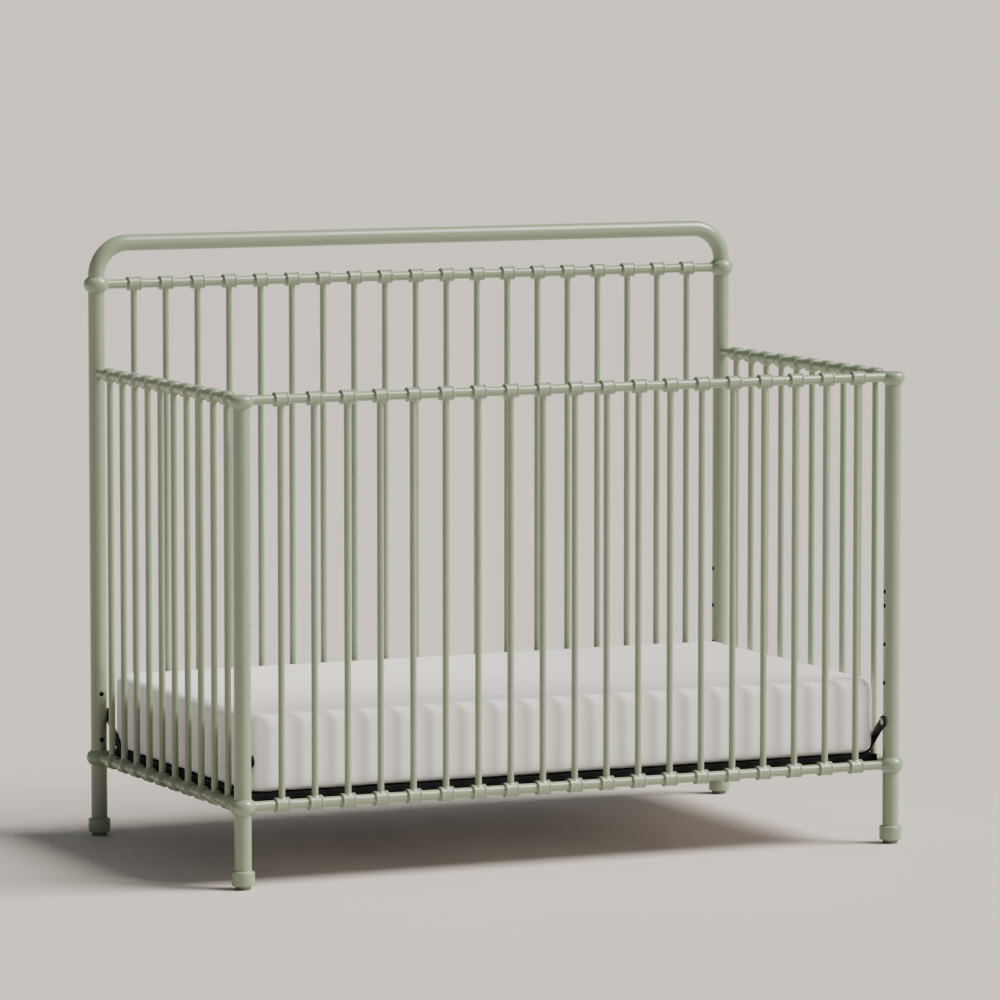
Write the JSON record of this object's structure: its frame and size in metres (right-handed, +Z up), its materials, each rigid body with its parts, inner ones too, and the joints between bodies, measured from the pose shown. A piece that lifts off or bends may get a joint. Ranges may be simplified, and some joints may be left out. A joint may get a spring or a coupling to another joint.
{
  "type": "baby crib",
  "caption": "Slatted steel-tube baby crib with ball-knuckled posts, a raised bent-tube headboard, a height-adjustable sprung mattress support and a loose mattress.",
  "frame": {"origin": "on the floor, at the middle of the crib's footprint", "axes": "+X along the length to the right as seen from the front, +Y from the front panel towards the headboard, +Z up"},
  "size_m": [1.3924, 0.7774, 1.1629],
  "materials": {
    "sage_powder_coat": "satin",
    "black_powder_coat": "satin",
    "zinc_steel": "satin",
    "glide_plastic": "matte",
    "mattress_ticking": "matte",
    "mattress_foam": "matte"
  },
  "bodies": {
    "root": {"back_post_left": "sage_powder_coat", "back_post_right": "sage_powder_coat", "front_post_left": "sage_powder_coat", "front_post_right": "sage_powder_coat", "headboard_top_tube": "sage_powder_coat", "headboard_upper_rail": "sage_powder_coat", "headboard_lower_rail": "sage_powder_coat", "front_top_rail": "sage_powder_coat", "front_lower_rail": "sage_powder_coat", "left_top_rail": "sage_powder_coat", "right_top_rail": "sage_powder_coat", "left_lower_rail": "sage_powder_coat", "right_lower_rail": "sage_powder_coat", "headboard_slats": "sage_powder_coat", "front_slats": "sage_powder_coat", "left_slats": "sage_powder_coat", "right_slats": "sage_powder_coat", "headboard_collars": "sage_powder_coat", "front_collars": "sage_powder_coat", "left_collars": "sage_powder_coat", "right_collars": "sage_powder_coat", "headboard_knuckle_left": "sage_powder_coat", "headboard_knuckle_right": "sage_powder_coat", "lower_knuckle_back_left": "sage_powder_coat", "lower_knuckle_back_right": "sage_powder_coat", "lower_knuckle_front_left": "sage_powder_coat", "lower_knuckle_front_right": "sage_powder_coat", "post_cap_left": "sage_powder_coat", "post_cap_right": "sage_powder_coat", "foot_caps": "sage_powder_coat", "foot_glides": "glide_plastic", "tube_couplers": "zinc_steel", "level_inserts": "zinc_steel", "toddler_rail_inserts": "zinc_steel", "bed_rail_inserts": "zinc_steel", "rail_end_plugs": "zinc_steel", "panel_bolts": "zinc_steel", "saddle_washers": "zinc_steel", "set_screws": "zinc_steel"},
    "mattress_support": {"support_front_rail": "black_powder_coat", "support_back_rail": "black_powder_coat", "support_left_rail": "black_powder_coat", "support_right_rail": "black_powder_coat", "support_cross_bars": "black_powder_coat", "deck_long_wires": "black_powder_coat", "deck_cross_wires": "black_powder_coat", "hanger_arm_back_left": "black_powder_coat", "hanger_arm_back_right": "black_powder_coat", "hanger_arm_front_left": "black_powder_coat", "hanger_arm_front_right": "black_powder_coat", "hanger_rivets": "black_powder_coat", "deck_springs": "zinc_steel", "level_bolts": "zinc_steel", "level_washers": "zinc_steel"},
    "mattress": {"mattress_core": "mattress_foam", "mattress_cover": "mattress_ticking"}
  },
  "joints": [
    {"name": "mattress_height", "type": "slide", "parent": "root", "child": "mattress_support", "axis": [0, 0, 1], "range_m": [0, 0.2232]},
    {"name": "mattress_lift", "type": "slide", "parent": "mattress_support", "child": "mattress", "axis": [0, 0, 1], "range_m": [0, 0.75]}
  ]
}
